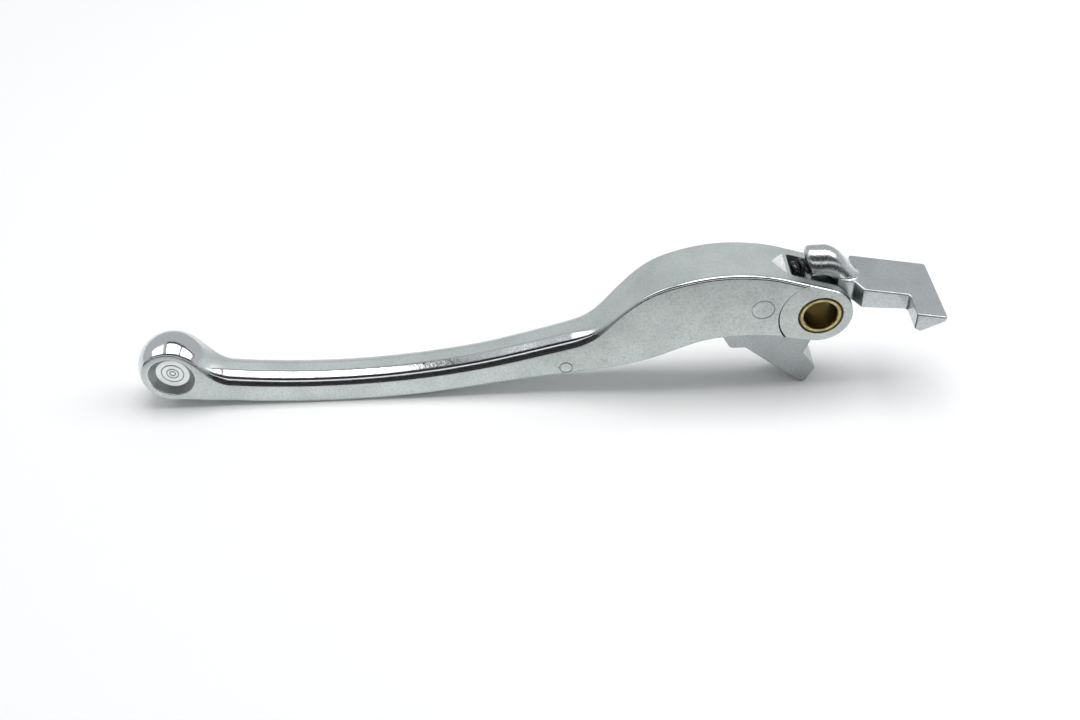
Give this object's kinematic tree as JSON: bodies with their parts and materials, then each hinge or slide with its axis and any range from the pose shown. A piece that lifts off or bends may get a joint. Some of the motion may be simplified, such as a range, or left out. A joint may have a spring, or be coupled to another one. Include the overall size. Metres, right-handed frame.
{
  "type": "motorcycle brake lever",
  "caption": "Cast hand lever for a hydraulic front brake, with ball end, dog-leg blade, pivot bush and a spring-loaded actuator arm with switch tail.",
  "frame": {"origin": "on the pivot axis, half way through the lever's thickness", "axes": "+X from the ball end towards the switch tail, +Y along the pivot axis, +Z away from the handgrip; the lever stands on its grip side"},
  "size_m": [0.1988, 0.0218, 0.0395],
  "materials": {
    "cast_aluminium": "tumbled casting with polished blade edges",
    "arm_aluminium": "satin casting",
    "bush_brass": "turned",
    "black_spring_steel": "black oxide"
  },
  "bodies": {
    "lever": {"lever_blade": "cast_aluminium", "pivot_bush": "bush_brass", "preload_spring": "black_spring_steel"},
    "arm": {"actuator_arm": "arm_aluminium"}
  },
  "joints": [
    {"name": "arm_pivot", "type": "hinge", "parent": "lever", "child": "arm", "pos_m": [0, 0, 0], "axis": [0, -1, 0], "range_deg": [0, 10], "stiffness_Nm_per_rad": 2, "springref_deg": -6.88, "deforming": ["preload_spring"]}
  ]
}
